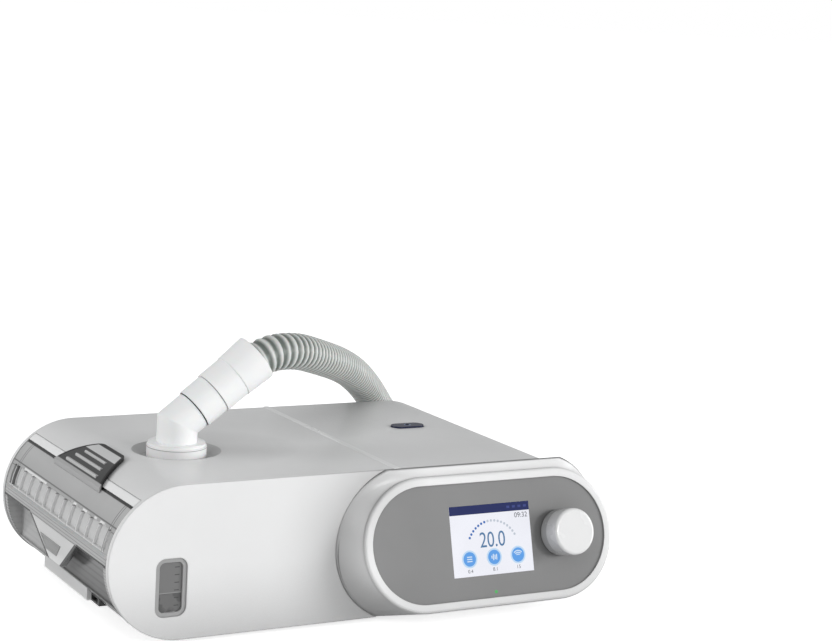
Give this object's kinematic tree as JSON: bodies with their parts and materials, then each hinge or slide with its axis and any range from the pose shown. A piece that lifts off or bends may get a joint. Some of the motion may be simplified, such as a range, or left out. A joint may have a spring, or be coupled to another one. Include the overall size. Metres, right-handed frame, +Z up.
{
  "type": "cpap machine",
  "caption": "Bedside breathing machine: white rounded shell with a pull-out humidifier tank, a tilted control pod with screen and push-turn knob, and a ribbed hose on a swivel elbow.",
  "frame": {"origin": "middle of the machine's footprint (without the hose) on the surface it stands on", "axes": "+X to the machine's right as a user faces the screen, +Y to its back, +Z up"},
  "size_m": [0.3563, 0.464, 0.1474],
  "materials": {
    "shell_white": "satin white moulded plastic",
    "base_grey": "matte grey plastic",
    "tank_smoke": "smoky clear plastic",
    "tongue_grey": "light grey plastic",
    "tank_dark": "dark grey plastic",
    "silicone": "soft silicone",
    "foot_rubber": "matte rubber",
    "steel": "brushed",
    "heater_metal": "satin",
    "window_clear": "clear plastic lens",
    "panel_grey": "satin grey",
    "screen_glass": "glossy lens",
    "screen_body": "matte black",
    "circuit_board": "green board",
    "component_dark": "matte black",
    "button_navy": "satin navy",
    "light_green": "lit lens",
    "filter_foam": "fibrous filter",
    "hose_grey": "satin grey plastic",
    "tie_white": "woven strap"
  },
  "bodies": {
    "machine": {"humidifier_cover": "shell_white", "humidifier_base": "base_grey", "tank_dock": "shell_white", "port_seals": "silicone", "heater_plate": "heater_metal", "heater_springs": "steel", "window_frame": "panel_grey", "window_lens": "window_clear", "outlet_port": "shell_white", "outlet_duct": "base_grey", "main_cover": "shell_white", "main_base": "base_grey", "feet": "foot_rubber", "base_screws": "steel", "button_switch": "component_dark", "button_board": "circuit_board", "blower_housing": "base_grey", "blower_lid": "base_grey", "blower_motor": "steel", "blower_mount": "silicone", "air_duct": "silicone", "air_filter": "filter_foam", "inlet_muffler": "filter_foam", "power_inlet": "component_dark", "main_board": "circuit_board", "board_parts": "component_dark", "pod_bezel": "shell_white", "control_panel": "panel_grey", "screen_lens": "screen_glass", "screen_module": "screen_body", "display_board": "circuit_board", "status_light": "light_green", "rotary_encoder": "steel", "hose_run": "hose_grey", "hose_coil": "hose_grey", "hose_tie": "tie_white", "hose_end_cuff": "shell_white"},
    "tank": {"tank_tub": "tank_smoke", "tank_lid": "tank_smoke", "tank_seal": "silicone", "tank_base_plate": "heater_metal", "tank_tongue": "tongue_grey", "tank_finger_bar": "tank_dark", "tank_thumb_tab": "tank_dark"},
    "plunger": {"encoder_plunger": "steel"},
    "knob": {"knob": "shell_white", "encoder_shaft": "steel"},
    "start_button": {"start_button": "button_navy"},
    "elbow": {"elbow": "shell_white"},
    "cuff": {"cuff_collar": "shell_white", "hose_cuff": "shell_white"},
    "impeller": {"impeller": "base_grey", "motor_shaft": "steel"},
    "filter_cover": {"filter_cover": "shell_white"}
  },
  "joints": [
    {"name": "tank_slide", "type": "slide", "parent": "machine", "child": "tank", "axis": [-1, 0, 0], "range_m": [0, 0.075]},
    {"name": "knob_push", "type": "slide", "parent": "machine", "child": "plunger", "axis": [0, 0.9593, -0.2823], "range_m": [0, 0.0006], "stiffness_N_per_m": 900, "springref_m": -0.0006},
    {"name": "knob_turn", "type": "hinge", "parent": "plunger", "child": "knob", "pos_m": [0.1132, -0.07895, 0.04345], "axis": [0, -0.9593, 0.2823], "continuous": true},
    {"name": "start_press", "type": "slide", "parent": "machine", "child": "start_button", "axis": [0, 0, -1], "range_m": [0, 0.0008], "stiffness_N_per_m": 700, "springref_m": -0.0006},
    {"name": "elbow_swivel", "type": "hinge", "parent": "machine", "child": "elbow", "pos_m": [-0.0815, 0.00634, 0.0978], "axis": [0, 0, 1], "range_deg": [-40, 40], "deforming": ["hose_run"]},
    {"name": "cuff_swivel", "type": "hinge", "parent": "elbow", "child": "cuff", "pos_m": [-0.0815, 0.00634, 0.0978], "axis": [0.7934, 0, 0.6088], "continuous": true},
    {"name": "impeller_spin", "type": "hinge", "parent": "machine", "child": "impeller", "pos_m": [0.0685, 0.04034, 0.0525], "axis": [0, 0, 1], "continuous": true},
    {"name": "filter_cover_slide", "type": "slide", "parent": "machine", "child": "filter_cover", "axis": [0, 1, 0], "range_m": [0, 0.018]}
  ]
}
